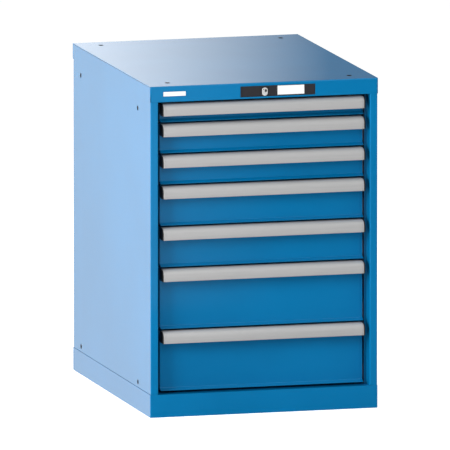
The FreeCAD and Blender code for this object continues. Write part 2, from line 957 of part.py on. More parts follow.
side_wall("left_side_wall", -1)
side_wall("right_side_wall", 1)
back_panel()
back_rivets()
top_cap()
floor_panel()
plinth()
uprights("left_uprights", -1)
uprights("right_uprights", 1)
cabinet_rails()
lock_plate()
lock_housing()
lock_plug()
lock_shaft()
lock_cam()
locking_bar()
lock_brackets()
fascia_labels()
for index, height in enumerate(stack):
    drawer(index + 1, zones[index + 1], height)
doc.recompute()

# nothing is written unless every piece is sound
for made in doc.Objects:
    if "Invalid" in made.State or "Error" in made.State:
        raise RuntimeError(f"{made.Label} did not build: {made.State}")
    if made.TypeId == "PartDesign::Pocket":
        if made.Shape.Volume >= made.BaseFeature.Shape.Volume:
            raise RuntimeError(f"{made.Label} removes nothing")
for made in finished:
    if made.Shape.isNull() or not made.Shape.isValid():
        raise RuntimeError(f"{made.Label} has no sound shape")

os.makedirs("parts", exist_ok=True)
for made in finished:
    made.Shape.exportStep(f"parts/{made.Label}.step")
print(f"{len(finished)} pieces written")
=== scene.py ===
import json
import math

import bmesh
import bpy
from mathutils import Matrix, Vector


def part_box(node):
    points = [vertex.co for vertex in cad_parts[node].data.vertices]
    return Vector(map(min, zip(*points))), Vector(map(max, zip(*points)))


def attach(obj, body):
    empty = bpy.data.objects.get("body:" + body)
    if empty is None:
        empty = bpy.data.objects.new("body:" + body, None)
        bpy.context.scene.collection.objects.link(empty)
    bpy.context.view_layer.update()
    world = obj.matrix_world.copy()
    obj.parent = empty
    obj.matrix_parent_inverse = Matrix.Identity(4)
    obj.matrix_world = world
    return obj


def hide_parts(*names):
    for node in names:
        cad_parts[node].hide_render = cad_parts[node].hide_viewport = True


# Workshop drawer cabinet: camera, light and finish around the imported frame. Metres, +Z up, front towards -Y.

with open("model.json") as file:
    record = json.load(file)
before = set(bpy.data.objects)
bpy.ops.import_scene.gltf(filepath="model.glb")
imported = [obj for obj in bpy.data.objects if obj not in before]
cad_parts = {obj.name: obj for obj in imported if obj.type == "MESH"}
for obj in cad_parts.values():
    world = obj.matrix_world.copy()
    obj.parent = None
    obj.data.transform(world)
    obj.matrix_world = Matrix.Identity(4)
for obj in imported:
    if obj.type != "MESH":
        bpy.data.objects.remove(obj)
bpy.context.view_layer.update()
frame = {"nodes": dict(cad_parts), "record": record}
scene = bpy.context.scene
mm = 0.001
drawers = range(1, 8)  # numbered from the top
print("frame loaded:", len(frame["nodes"]), "nodes")


# one class for all node maths


def operator(operation, reflected=False):
    def apply(self, other):
        pair = (other, self) if reflected else (self, other)
        return self.node("ShaderNodeMath", dict(enumerate(pair)), operation=operation)

    return apply


class Wire:
    # An output socket. Operators on it add Math nodes, and node() adds any other node.
    def __init__(self, tree, socket=None):
        self.tree = tree
        self.socket = socket

    def node(self, kind, sockets=None, output=0, **settings):
        made = self.tree.nodes.new(kind)
        for name, value in settings.items():
            setattr(made, name, value)
        for name, value in (sockets or {}).items():
            if isinstance(value, Wire):
                self.tree.links.new(value.socket, made.inputs[name])
            else:
                made.inputs[name].default_value = value
        return Wire(self.tree, made.outputs[output])

    __add__ = operator("ADD")
    __radd__ = operator("ADD", True)
    __sub__ = operator("SUBTRACT")
    __rsub__ = operator("SUBTRACT", True)
    __mul__ = operator("MULTIPLY")
    __rmul__ = operator("MULTIPLY", True)
    __truediv__ = operator("DIVIDE")
    __gt__ = operator("GREATER_THAN")
    __lt__ = operator("LESS_THAN")

    def maths(self, operation, other=0.0):
        return self.node("ShaderNodeMath", {0: self, 1: other}, operation=operation)

    def between(self, low, high):
        # 0 below low, 1 above high, smooth in between
        sockets = {"Value": self, "From Min": low, "From Max": high}
        return self.node("ShaderNodeMapRange", sockets, interpolation_type="SMOOTHSTEP")

    def mix(self, low, high):
        # this wire is the share of the second colour
        return self.node("ShaderNodeMix", {0: self, 6: low, 7: high}, output=2, data_type="RGBA")


def grey(level):
    return (level, level, level, 1.0)


def shade(colour, factor):
    return tuple(part * factor for part in colour[:3]) + (1.0,)


def twoTones(wire, colour, play):
    return wire.mix(shade(colour, 1 - play), shade(colour, 1 + play))


# materials


class Finish:
    # A Principled material: fixed values stay on its sockets, patterns are linked to them.
    def __init__(self, name, **fixed):
        self.material = bpy.data.materials.new(name)
        self.material.use_nodes = True
        self.tree = self.material.node_tree
        self.shader = self.tree.nodes["Principled BSDF"]
        self.start = Wire(self.tree)
        for socket, value in fixed.items():
            self.shader.inputs[socket.replace("_", " ")].default_value = value

    def place(self, stretch=(1.0, 1.0, 1.0)):
        where = self.start.node("ShaderNodeTexCoord", output="Object")
        return self.start.node("ShaderNodeMapping", {"Vector": where, "Scale": stretch})

    def noise(self, scale, detail=2.0, stretch=(1.0, 1.0, 1.0)):
        sockets = {"Vector": self.place(stretch), "Scale": scale, "Detail": detail}
        return self.start.node("ShaderNodeTexNoise", sockets)

    def give(self, socket, wire):
        self.tree.links.new(wire.socket, self.shader.inputs[socket])

    def bump(self, height, depth):
        sockets = {"Height": height, "Strength": 1.0, "Distance": depth}
        self.give("Normal", self.start.node("ShaderNodeBump", sockets))


powder = {
    "cloud": 3.0,        # large, hardly visible differences of tone
    "cloudDetail": 3.0,
    "cloudRange": (0.3, 0.7),
    "cloudShare": 0.05,
    "peel": 420.0,       # the coat's orange peel
    "peelDepth": 0.00005,
    "roughness": 0.34,
    "roughnessPlay": 0.08,
    "under": 0.05,       # the pigment's own shine, below the clear gloss
    "gloss": 0.9,
    "glossRoughness": 0.1,
}
# near black colour of the painted shade at the bolt holes
holeShadeColour = grey(0.01)
mounts = {mount["name"]: mount for mount in frame["record"]["mounts"]}
# painted shade at the bolt holes, near black and without gloss: its half width and length, and how deep it
# goes below the face
topHoleShade = {"mount": "top_holes", "axes": (0, 1, 2), "rim": (6.3 * mm, 9 * mm), "deep": 3 * mm}
sideHoleShade = {"mount": "right_side_holes", "axes": (1, 2, 0), "rim": (6.2 * mm, 6.2 * mm), "deep": 2 * mm}


# the mask of the painted shade around the bolt holes
def paintedHoleShade(place, holes):
    mount = mounts[holes["mount"]]
    *along, depth = holes["axes"]
    total = 0
    for axis, spacing, rim in zip(along, ("spacing_x_mm", "spacing_y_mm"), holes["rim"]):
        away = (place[axis] - mount["pos_m"][axis]).maths("ABSOLUTE")
        reach = (away - mount["dims"][spacing] / 2 * mm) * (1 / rim)
        total = reach * reach + total
    return (total < 1) * (place[depth] > mount["pos_m"][depth] - holes["deep"])


def powderCoat(name, colour):
    finish = Finish(name, Specular_IOR_Level=powder["under"], Coat_Roughness=powder["glossRoughness"])
    cloud = finish.noise(powder["cloud"], powder["cloudDetail"]).between(*powder["cloudRange"])
    coat = twoTones(cloud, colour, powder["cloudShare"])

    # painted shade: near the bolt holes the paint turns near black and loses its gloss
    where = finish.start.node("ShaderNodeTexCoord", output="Object")
    x, y, z = (finish.start.node("ShaderNodeSeparateXYZ", {0: where}, output=axis) for axis in range(3))
    sides = (x.maths("ABSOLUTE"), y, z)
    rim = paintedHoleShade((x, y, z), topHoleShade).maths("MAXIMUM", paintedHoleShade(sides, sideHoleShade))
    finish.give("Base Color", rim.mix(coat, holeShadeColour))
    finish.give("Coat Weight", (1 - rim) * powder["gloss"])
    grain = finish.noise(powder["peel"])
    finish.give("Roughness", grain * powder["roughnessPlay"] + powder["roughness"])
    finish.bump(grain, powder["peelDepth"])
    return finish.material


zinc = {
    "light": (0.60, 0.62, 0.63, 1.0),
    "dark": (0.44, 0.46, 0.48, 1.0),
    "warm": (0.60, 0.57, 0.50, 1.0),
    "metallic": 0.75,
    "flakes": 60.0,
    "warmth": 6.0,       # size, range and share of the warm clouds
    "warmthRange": (0.5, 0.8),
    "warmthShare": 0.5,
    "roughness": 0.34,
    "roughnessPlay": 0.12,
    "grain": 900.0,
    "grainDepth": 0.00002,
}


def zincPlate():
    finish = Finish("zincPlate", Metallic=zinc["metallic"])
    cells = finish.start.node(
        "ShaderNodeTexVoronoi", {"Vector": finish.place(), "Scale": zinc["flakes"]}, output="Color")
    flake = finish.start.node("ShaderNodeSeparateColor", {"Color": cells})
    plain = flake.mix(zinc["dark"], zinc["light"])
    tint = finish.noise(zinc["warmth"]).between(*zinc["warmthRange"])
    finish.give("Base Color", (tint * zinc["warmthShare"]).mix(plain, zinc["warm"]))
    finish.give("Roughness", flake * zinc["roughnessPlay"] + zinc["roughness"])
    finish.bump(finish.noise(zinc["grain"]), zinc["grainDepth"])
    return finish.material


trayPaint = {
    "colour": (0.47, 0.49, 0.50, 1.0),
    "play": 0.07,
    "speckle": 700.0,
    "speckleDetail": 1.0,
    "speckleDepth": 0.00004,
    "roughness": 0.42,
    "roughnessPlay": 0.1,
    "gloss": 0.15,
    "glossRoughness": 0.3,
}


def trayCoat():
    finish = Finish("trayCoat", Coat_Weight=trayPaint["gloss"], Coat_Roughness=trayPaint["glossRoughness"])
    speckle = finish.noise(trayPaint["speckle"], trayPaint["speckleDetail"])
    finish.give("Base Color", twoTones(speckle, trayPaint["colour"], trayPaint["play"]))
    finish.give("Roughness", speckle * trayPaint["roughnessPlay"] + trayPaint["roughness"])
    finish.bump(speckle, trayPaint["speckleDepth"])
    return finish.material


gripMetal = {
    "colour": grey(0.47),
    "play": 0.06,
    "metallic": 0.15,
    "lines": 240.0,
    "lineDetail": 3.0,
    "lineStretch": (0.02, 1.0, 1.0),
    "lineDepth": 0.00003,
    "roughness": 0.36,
    "roughnessPlay": 0.16,
}


def anodised():
    # the fine lines run along the profile, as it left the die
    finish = Finish("anodised", Metallic=gripMetal["metallic"])
    lines = finish.noise(gripMetal["lines"], gripMetal["lineDetail"], gripMetal["lineStretch"])
    finish.give("Base Color", twoTones(lines, gripMetal["colour"], gripMetal["play"]))
    finish.give("Roughness", lines * gripMetal["roughnessPlay"] + gripMetal["roughness"])
    finish.bump(lines, gripMetal["lineDepth"])
    return finish.material


plastic = {"play": 0.15, "grain": 1500.0, "grainDetail": 1.0, "grainDepth": 0.00005, "roughnessPlay": 0.15}


def moulded(name, colour, roughness):
    finish = Finish(name)
    grain = finish.noise(plastic["grain"], plastic["grainDetail"])
    finish.give("Base Color", twoTones(grain, colour, plastic["play"]))
    finish.give("Roughness", grain * plastic["roughnessPlay"] + roughness)
    finish.bump(grain, plastic["grainDepth"])
    return finish.material


chrome = {
    "dark": grey(0.80),
    "light": grey(0.88),
    "metallic": 0.35,
    "swirl": 300.0,
    "roughness": 0.2,
    "roughnessPlay": 0.08,
}


def chromed():
    finish = Finish("chromed", Metallic=chrome["metallic"])
    swirl = finish.noise(chrome["swirl"])
    finish.give("Base Color", swirl.mix(chrome["dark"], chrome["light"]))
    finish.give("Roughness", swirl * chrome["roughnessPlay"] + chrome["roughness"])
    return finish.material


paper = {
    "dark": (0.90, 0.90, 0.89, 1.0),
    "light": (0.96, 0.96, 0.95, 1.0),
    "roughness": 0.7,
    "fibres": 900.0,
    "fibreDetail": 4.0,
    "fibreStretch": (1.0, 1.0, 3.0),
    "fibreDepth": 0.00003,
}


def paperCard():
    finish = Finish("paperCard", Roughness=paper["roughness"])
    fibres = finish.noise(paper["fibres"], paper["fibreDetail"], paper["fibreStretch"])
    finish.give("Base Color", fibres.mix(paper["dark"], paper["light"]))
    finish.bump(fibres, paper["fibreDepth"])
    return finish.material


blue = (0.0003, 0.172, 0.400, 1.0)
frontBlue = (0.0003, 0.166, 0.390, 1.0)
plateBlack = (0.026, 0.025, 0.030, 1.0)
finishes = {
    "cabinet_paint": powderCoat("cabinetBlue", blue),
    "front_paint": powderCoat("frontBlue", frontBlue),
    "tray_paint": trayCoat(),
    "zinc_steel": zincPlate(),
    "grip_aluminium": anodised(),
    "black_plastic": moulded("blackPlastic", grey(0.012), 0.45),
    "plate_plastic": moulded("platePlastic", plateBlack, 0.5),
    "lock_chrome": chromed(),
    "label_white": paperCard(),
}
for subpart in frame["record"]["subparts"]:
    slots = frame["nodes"][subpart["node"]].data.materials
    slots.clear()
    slots.append(finishes[subpart["material_slot"]])
print("finishes ready:", len(finishes))


# mesh helpers


def newPiece(name, mesh, slot, body, *nodes):
    # a finished mesh becomes a piece that rides on a body and may stand for CAD nodes
    piece = bpy.data.objects.new(name, mesh)
    scene.collection.objects.link(piece)
    mesh.materials.clear()
    mesh.materials.append(finishes[slot])
    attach(piece, body)
    if nodes:
        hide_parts(*nodes)
    return piece


def shaded(mesh, angle=35):
    # smooth over rounds, while the flat faces beside them stay flat
    mesh.shade_smooth()
    mesh.set_sharp_from_angle(angle=math.radians(angle))
    holder = held(mesh)
    weighted = holder.modifiers.new("weighted", "WEIGHTED_NORMAL")
    weighted.keep_sharp = True
    weighted.weight = 100
    made = evaluated(holder)
    bpy.data.objects.remove(holder)
    return made


def bevelled(mesh, width, segments=2, angle=40):
    # rounds the edges that are sharper than the angle
    holder = held(mesh)
    bevel = holder.modifiers.new("bevel", "BEVEL")
    bevel.width = width
    bevel.segments = segments
    bevel.limit_method = "ANGLE"
    bevel.angle_limit = math.radians(angle)
    made = evaluated(holder)
    bpy.data.objects.remove(holder)
    return shaded(made)


def held(mesh):
    # an object for modifiers to work on
    holder = bpy.data.objects.new("holder", mesh)
    scene.collection.objects.link(holder)
    return holder


def evaluated(holder):
    graph = bpy.context.evaluated_depsgraph_get()
    return bpy.data.meshes.new_from_object(holder.evaluated_get(graph))


meshJoin = 0.001 * mm
flatWithin = 0.5  # degrees


def merged(node):
    # a node's mesh with its loose triangles joined into whole faces
    work = bmesh.new()
    work.from_mesh(frame["nodes"][node].data)
    bmesh.ops.remove_doubles(work, verts=work.verts, dist=meshJoin)
    bmesh.ops.dissolve_limit(
        work, angle_limit=math.radians(flatWithin), verts=work.verts, edges=work.edges)
    return asMesh(work, node + "_copy")


def asMesh(work, name):
    mesh = bpy.data.meshes.new(name)
    work.to_mesh(mesh)
    work.free()
    return mesh


def rounded(corners, steps=6):
    # corners are (across, up, radius): each becomes an arc, or stays sharp where the radius is 0
    points = []
    for index, (across, up, radius) in enumerate(corners):
        here = Vector((across, up))
        if not radius:
            points.append(here)
            continue
        back = (Vector(corners[index - 1][:2]) - here).normalized()
        ahead = (Vector(corners[(index + 1) % len(corners)][:2]) - here).normalized()
        half = math.acos(max(-1.0, min(1.0, back.dot(ahead)))) / 2
        centre = here + (back + ahead).normalized() * radius / math.sin(half)
        first = here + back * radius / math.tan(half) - centre
        last = here + ahead * radius / math.tan(half) - centre
        turn = math.atan2(first.x * last.y - first.y * last.x, first.dot(last))
        for step in range(steps + 1):
            points.append(centre + Matrix.Rotation(turn * step / steps, 2) @ first)
    return points


alongX = Matrix(((0, 0, 1, 0), (1, 0, 0, 0), (0, 1, 0, 0), (0, 0, 0, 1)))  # section (Y, Z)
alongY = Matrix(((1, 0, 0, 0), (0, 0, 1, 0), (0, 1, 0, 0), (0, 0, 0, 1)))  # section (X, Z)


def loft(work, stations, turn):
    # adds a solid through the sections, each at its place along the axis that turn gives
    rings = []
    for place, section in stations:
        rings.append([work.verts.new(turn @ Vector((*point[:2], place))) for point in section])
    faces = [work.faces.new(rings[0]), work.faces.new(rings[-1])]
    for near, far in zip(rings, rings[1:]):
        for index in range(len(near)):
            step = (index + 1) % len(near)
            faces.append(work.faces.new((near[index], near[step], far[step], far[index])))
    bmesh.ops.recalc_face_normals(work, faces=faces)


def prism(work, section, low, high, turn):
    loft(work, [(low, section), (high, section)], turn)


def box(work, low, high):
    section = [(low[1], low[2]), (high[1], low[2]), (high[1], high[2]), (low[1], high[2])]
    prism(work, section, low[0], high[0], alongX)


# trees for what repeats


def newTree(name, inputs):
    tree = bpy.data.node_groups.new(name, "GeometryNodeTree")
    tree.interface.new_socket("Mesh", in_out="OUTPUT", socket_type="NodeSocketGeometry")
    for label, kind in inputs.items():
        tree.interface.new_socket(label, in_out="INPUT", socket_type="NodeSocket" + kind)
    entry = tree.nodes.new("NodeGroupInput")
    given = {label: Wire(tree, entry.outputs[label]) for label in inputs}
    return tree, Wire(tree), given


def closeTree(tree, start, mesh, material):
    whole = start.node("GeometryNodeRealizeInstances", {0: mesh})
    whole = start.node("GeometryNodeSetMaterial", {"Geometry": whole, "Material": material})
    tree.links.new(whole.socket, tree.nodes.new("NodeGroupOutput").inputs[0])
    return tree


def grown(tree, slot, **values):
    # the plain mesh that a tree makes from these values
    holder = bpy.data.objects.new("holder", bpy.data.meshes.new("holder"))
    scene.collection.objects.link(holder)
    growth = holder.modifiers.new("growth", "NODES")
    growth.node_group = tree
    values["Material"] = finishes[slot]
    for item in tree.interface.items_tree:
        if item.in_out == "INPUT":
            growth[item.identifier] = values[item.name.replace(" ", "")]
    made = evaluated(holder)
    bpy.data.objects.remove(holder)
    return made


joinReach = 0.01 * mm


def slottedSheet():
    # a flat sheet from the origin along X and Y, with rows of slots, its thickness along Z
    inputs = {
        "Length": "Float", "Height": "Float", "Sheet": "Float",
        "Columns": "Int", "Rows": "Int", "Pitch": "Float", "Row Pitch": "Float",
        "Slot Width": "Float", "Slot Height": "Float", "Material": "Material",
    }
    tree, start, given = newTree("slottedSheet", inputs)
    parts = 3  # each slot is the middle one of three by three cells
    cellsX = given["Columns"] * parts
    cellsY = given["Rows"] * parts
    grid = start.node("GeometryNodeMeshGrid", {
        "Size X": cellsX, "Size Y": cellsY, "Vertices X": cellsX + 1, "Vertices Y": cellsY + 1})
    spot = start.node("GeometryNodeInputPosition")
    across = start.node("ShaderNodeSeparateXYZ", {0: spot}, output=0) + cellsX * 0.5
    along = start.node("ShaderNodeSeparateXYZ", {0: spot}, output=1) + cellsY * 0.5

    def middleCell(count):
        share = (count / parts).maths("FRACT")
        return (share - 0.5).maths("ABSOLUTE") < 0.1

    holes = middleCell(across) * middleCell(along)
    sieve = start.node(
        "GeometryNodeDeleteGeometry", {"Geometry": grid, "Selection": holes}, domain="FACE")

    def spread(count, cells, whole, pitch, slot):
        index = count.maths("ROUND")
        cell = (index / parts).maths("FLOOR")
        part = index - cell * parts
        left = (part - 1).maths("ABSOLUTE") < 0.5
        right = (part - 2).maths("ABSOLUTE") < 0.5
        margin = (whole - cells / parts * pitch) * 0.5
        inner = margin + cell * pitch + left * (pitch - slot) * 0.5 + right * (pitch + slot) * 0.5
        first = index < 0.5
        last = index > cells - 0.5
        return inner * (1 - first) * (1 - last) + last * whole

    placeX = spread(across, cellsX, given["Length"], given["Pitch"], given["Slot Width"])
    placeY = spread(along, cellsY, given["Height"], given["Row Pitch"], given["Slot Height"])
    target = start.node("ShaderNodeCombineXYZ", {0: placeX, 1: placeY, 2: 0.0})
    flat = start.node("GeometryNodeSetPosition", {"Geometry": sieve, "Position": target})
    upper = start.node("GeometryNodeExtrudeMesh", {
        "Mesh": flat, "Offset": start.node("ShaderNodeCombineXYZ", {0: 0.0, 1: 0.0, 2: 1.0}),
        "Offset Scale": given["Sheet"], "Individual": False})
    lower = start.node("GeometryNodeFlipFaces", {0: flat})
    both = start.node("GeometryNodeJoinGeometry", {0: upper})
    tree.links.new(lower.socket, both.socket.node.inputs[0])
    whole = start.node("GeometryNodeMergeByDistance", {"Geometry": both, "Distance": joinReach})
    return closeTree(tree, start, whole, given["Material"])


stack = {"sides": 24, "tipTaper": 0.8}


def roundStack():
    # a row of round parts along X, each of three steps along Z: body, shoulder and tip
    inputs = {
        "Count": "Int", "Spacing": "Float", "Radius": "Float", "Width": "Float",
        "Shoulder": "Float", "Tip Radius": "Float", "Tip": "Float", "Material": "Material",
    }
    tree, start, given = newTree("roundStack", inputs)
    line = start.node("GeometryNodeMeshLine", {
        "Count": given["Count"],
        "Offset": start.node("ShaderNodeCombineXYZ", {0: given["Spacing"], 1: 0.0, 2: 0.0})})

    def step(low, height, wide, narrow):
        cone = start.node("GeometryNodeMeshCone", {
            "Vertices": stack["sides"], "Radius Top": narrow, "Radius Bottom": wide, "Depth": height})
        lift = start.node("ShaderNodeCombineXYZ", {0: 0.0, 1: 0.0, 2: low})
        return start.node("GeometryNodeTransform", {"Geometry": cone, "Translation": lift})

    body = step(0.0, given["Width"], given["Radius"], given["Radius"])
    shoulder = step(given["Width"], given["Shoulder"], given["Radius"], given["Tip Radius"])
    end = given["Tip Radius"] * stack["tipTaper"]
    tip = step(given["Width"] + given["Shoulder"], given["Tip"], given["Tip Radius"], end)
    joined = start.node("GeometryNodeJoinGeometry", {0: body})
    for part in (shoulder, tip):
        tree.links.new(part.socket, joined.socket.node.inputs[0])
    row = start.node("GeometryNodeInstanceOnPoints", {"Points": line, "Instance": joined})
    return closeTree(tree, start, row, given["Material"])


sheetTree = slottedSheet()
stackTree = roundStack()
print("trees ready")


def centre(node):
    low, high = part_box(node)
    return (low + high) / 2


def addGrown(work, mesh, turn):
    mesh.transform(turn)
    work.from_mesh(mesh)
    bpy.data.meshes.remove(mesh)


def standing(x, y, z, facing):
    # where a tree's sheet or row goes: its X axis and its height for each way that it can face
    turns = {
        "side": ((0, 0, 1), (1, 0, 0), (0, 1, 0)),   # runs along Y, stands up, thickness +X
        "front": ((1, 0, 0), (0, 0, -1), (0, 1, 0)),  # runs along X, stands up, thickness -Y
        "floor": ((1, 0, 0), (0, 1, 0), (0, 0, 1)),
    }
    turn = Matrix(turns[facing]).to_4x4()
    return Matrix.Translation((x, y, z)) @ turn


# drawers


grip = {
    "wall": 2 * mm,
    "round": 15 * mm,
    "edge": 3.5 * mm,
    "web": 12 * mm,
    "soft": 0.7 * mm,
    "grooveLow": 4.2 * mm,
    "grooveHigh": 5.2 * mm,
    "grooveDepth": 0.5 * mm,
    "sleeve": 5 * mm,
    "sleeveRound": 2.6 * mm,
    "seam": 0.4 * mm,
    "short": 1 * mm,
    "sideGap": 1.3 * mm,
    "capLean": 20 * mm,
    "capLift": 3 * mm,
    "capBend": 2 * mm,
    "capEdge": 0.4 * mm,
}


def gripSection(low, high, drop=0):
    # the profile of the handle: flat top, large round, face with a groove near its lower edge
    wall = max(grip["wall"], drop + grip["soft"])
    soft = grip["soft"]
    front = low.y + drop
    face = high.y
    foot = low.z
    top = high.z - drop
    inner = low.y + wall
    roof = high.z - wall
    deep = front + grip["grooveDepth"]
    return rounded([
        (face, top, 0),
        (front, top, grip["round"] - drop),
        (front, foot + grip["grooveHigh"], 0),
        (deep, foot + grip["grooveHigh"], 0),
        (deep, foot + grip["grooveLow"], 0),
        (front, foot + grip["grooveLow"], 0),
        (front, foot, soft),
        (front + grip["edge"], foot, soft),
        (front + grip["edge"], foot + wall, soft),
        (inner, foot + wall, 0),
        (inner, roof, grip["round"] - wall),
        (face - wall, roof, 0),
        (face - wall, roof - grip["web"], 0),
        (face, roof - grip["web"], 0),
    ])


def addGrip(number):
    # the long profile and a short sleeve at each of its ends
    low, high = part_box(f"drawer_{number}_handle")
    section = gripSection(low, high)
    work = bmesh.new()
    sleeve = grip["sleeve"]
    half = high.x - grip["short"]
    reach = half - sleeve - grip["seam"]
    prism(work, section, -reach, reach, alongX)
    for side in (-1, 1):
        stations = [((half - sleeve) * side, section)]
        for turn in (0, 30, 60, 90):
            drop = grip["sleeveRound"] * (1 - math.cos(math.radians(turn)))
            place = half - grip["sleeveRound"] * (1 - math.sin(math.radians(turn)))
            stations.append((place * side, gripSection(low, high, drop)))
        loft(work, stations, alongX)
    mesh = shaded(asMesh(work, "grip"))
    newPiece(f"grip_{number}", mesh, "grip_aluminium", f"drawer_{number}", f"drawer_{number}_handle")


def addEndCaps(number):
    # a plug that closes the whole depth of the profile at each end
    low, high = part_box(f"drawer_{number}_end_caps")
    near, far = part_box(f"drawer_{number}_handle")
    section = rounded([
        (high.y, high.z, 0),
        (low.y, high.z, grip["round"]),
        (low.y, low.z, grip["soft"]),
        (low.y + grip["capLean"], low.z, grip["capBend"]),
        (high.y, low.z + grip["capLift"], grip["capBend"]),
    ])
    work = bmesh.new()
    gap = grip["sideGap"]
    short = grip["short"]
    prism(work, section, low.x + gap, near.x + short, alongX)
    prism(work, section, far.x - short, high.x - gap, alongX)
    mesh = bevelled(asMesh(work, "caps"), grip["capEdge"])
    newPiece(f"gripCaps_{number}", mesh, "black_plastic", f"drawer_{number}", f"drawer_{number}_end_caps")


drawerFront = {
    "sheet": 1.2 * mm,
    "bend": 2 * mm,
    "hem": 12 * mm,
    "lip": 6 * mm,          # how high the flared lip is, and how far it reaches
    "lipReach": 10.5 * mm,
    "lipBend": 3 * mm,
    "lipTop": 0.8 * mm,
    "lipFoot": 0.4 * mm,
    "heel": 0.6 * mm,
    "edge": 0.35 * mm,
}


def addFront(number):
    # a folded front: lid, face, flared lip and hems as one section, closed by a return at each end
    low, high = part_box(f"drawer_{number}_front")
    sheet = drawerFront["sheet"]
    bend = drawerFront["bend"]
    face = low.y + drawerFront["lipReach"]
    lipTop = low.z + drawerFront["lip"]
    hem = drawerFront["hem"]
    section = rounded([
        (high.y, high.z, 0),
        (face, high.z, bend),
        (face, lipTop, drawerFront["lipBend"]),
        (low.y, low.z + sheet, drawerFront["lipTop"]),
        (low.y, low.z, drawerFront["lipFoot"]),
        (high.y, low.z, drawerFront["heel"]),
        (high.y, low.z + hem, 0),
        (high.y - sheet, low.z + hem, 0),
        (high.y - sheet, low.z + sheet, 0),
        (face + sheet, low.z + sheet, 0),
        (face + sheet, high.z - sheet, bend - sheet),
        (high.y - sheet, high.z - sheet, 0),
        (high.y - sheet, high.z - hem, 0),
        (high.y, high.z - hem, 0),
    ])
    work = bmesh.new()
    left = low.x + grip["sideGap"]
    right = high.x - grip["sideGap"]
    prism(work, section, left, right, alongX)
    for start in (left, right - sheet):
        end = (start + sheet, high.y - sheet, high.z - sheet)
        box(work, (start, face + sheet, low.z + sheet), end)
    mesh = bevelled(asMesh(work, "front"), drawerFront["edge"])
    newPiece(f"drawerFront_{number}", mesh, "front_paint", f"drawer_{number}", f"drawer_{number}_front")


tray = {
    "sheet": 1 * mm,
    "rim": 6 * mm,
    "rimDrop": 5 * mm,
    "rimBend": 0.6 * mm,
    "pitch": 17 * mm,
    "slotWidth": 3 * mm,
    "slotHeight": 20 * mm,
    "slotSpace": 10 * mm,
    "rowPitch": 32 * mm,
    "rowMargin": 8 * mm,
    "hole": 4 * mm,
    "holeMargin": 11 * mm,
}


def wall(length, height):
    # a slotted wall: as many rows and columns of slots as it has room for
    room = height - tray["rowMargin"]
    rows = max(1, int(room / tray["rowPitch"]))
    slot = min(tray["slotHeight"], room / rows - tray["slotSpace"])
    columns = int((length - tray["holeMargin"]) / tray["pitch"])
    return grown(
        sheetTree, "tray_paint", Length=length, Height=height, Sheet=tray["sheet"], Columns=columns,
        Rows=rows, Pitch=tray["pitch"], RowPitch=height / rows, SlotWidth=tray["slotWidth"], SlotHeight=slot)


def addTray(number):
    name = f"drawer_{number}"
    low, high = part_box(f"{name}_tray")
    sheet = tray["sheet"]
    rear = high.y - catch["reach"]
    inside = high.x - sheet
    foot = low.z + sheet
    work = bmesh.new()
    depth = rear - low.y
    width = inside * 2
    floor = grown(
        sheetTree, "tray_paint", Length=high.x * 2, Height=depth, Sheet=sheet,
        Columns=int((high.x * 2 - tray["holeMargin"]) / tray["pitch"]),
        Rows=int((depth - tray["holeMargin"]) / tray["pitch"]),
        Pitch=tray["pitch"], RowPitch=tray["pitch"], SlotWidth=tray["hole"], SlotHeight=tray["hole"])
    addGrown(work, floor, standing(low.x, low.y, low.z, "floor"))
    for x in (low.x, inside):
        addGrown(work, wall(depth, high.z - foot), standing(x, low.y, foot, "side"))
    for y in (low.y + sheet, rear):
        addGrown(work, wall(width, high.z - foot), standing(-inside, y, foot, "front"))

    # rims folded inwards and down along the sides and the rear
    rim = inside - tray["rim"]
    drop = high.z - tray["rimDrop"]
    bend = tray["rimBend"]
    for side in (-1, 1):
        section = rounded([
            (inside * side, high.z, bend),
            (rim * side, high.z, bend),
            (rim * side, drop, 0),
            ((rim + sheet) * side, drop, 0),
            ((rim + sheet) * side, high.z - sheet, 0),
            (inside * side, high.z - sheet, 0),
        ])
        prism(work, section, low.y + sheet, rear - sheet, alongY)
    back = rear - sheet
    section = rounded([
        (back, high.z, bend),
        (back - tray["rim"], high.z, bend),
        (back - tray["rim"], drop, 0),
        (back - tray["rim"] + sheet, drop, 0),
        (back - tray["rim"] + sheet, high.z - sheet, 0),
        (back, high.z - sheet, 0),
    ])
    prism(work, section, -rim, rim, alongX)
    newPiece(f"tray_{number}", shaded(asMesh(work, "tray")), "tray_paint", name, f"{name}_tray")
    addCatch(number, low, high)


catch = {
    "metal": 1.5 * mm,
    "reach": 25.5 * mm,     # behind the tray's rear wall
    "top": 36 * mm,         # heights from the tray's floor
    "lip": 22 * mm,
    "flange": 16 * mm,
    "bend": 3 * mm,
    "edge": 0.5 * mm,
    "half": 10 * mm,
}


def addCatch(number, low, high):
    # the bracket behind the tray that the locking bar's hook holds
    top = low.z + catch["top"]
    lip = low.z + catch["lip"]
    flange = low.z + catch["flange"]
    metal = catch["metal"]
    edge = catch["edge"]
    rear = high.y - catch["reach"]
    inner = catch["bend"] - metal
    section = rounded([
        (rear, top, 0),
        (high.y, top, catch["bend"]),
        (high.y, lip, edge),
        (high.y - metal, lip, edge),
        (high.y - metal, top - metal, inner),
        (rear + metal, top - metal, inner),
        (rear + metal, flange, edge),
        (rear, flange, 0),
    ])
    work = bmesh.new()
    middle = centre("locking_bar").x
    prism(work, section, middle - catch["half"], middle + catch["half"], alongX)
    newPiece(f"catch_{number}", shaded(asMesh(work, "catch")), "zinc_steel", f"drawer_{number}")


rail = {"metal": 2 * mm, "depth": 12.1 * mm, "bend": 2.6 * mm, "edge": 0.5 * mm, "steps": 3}


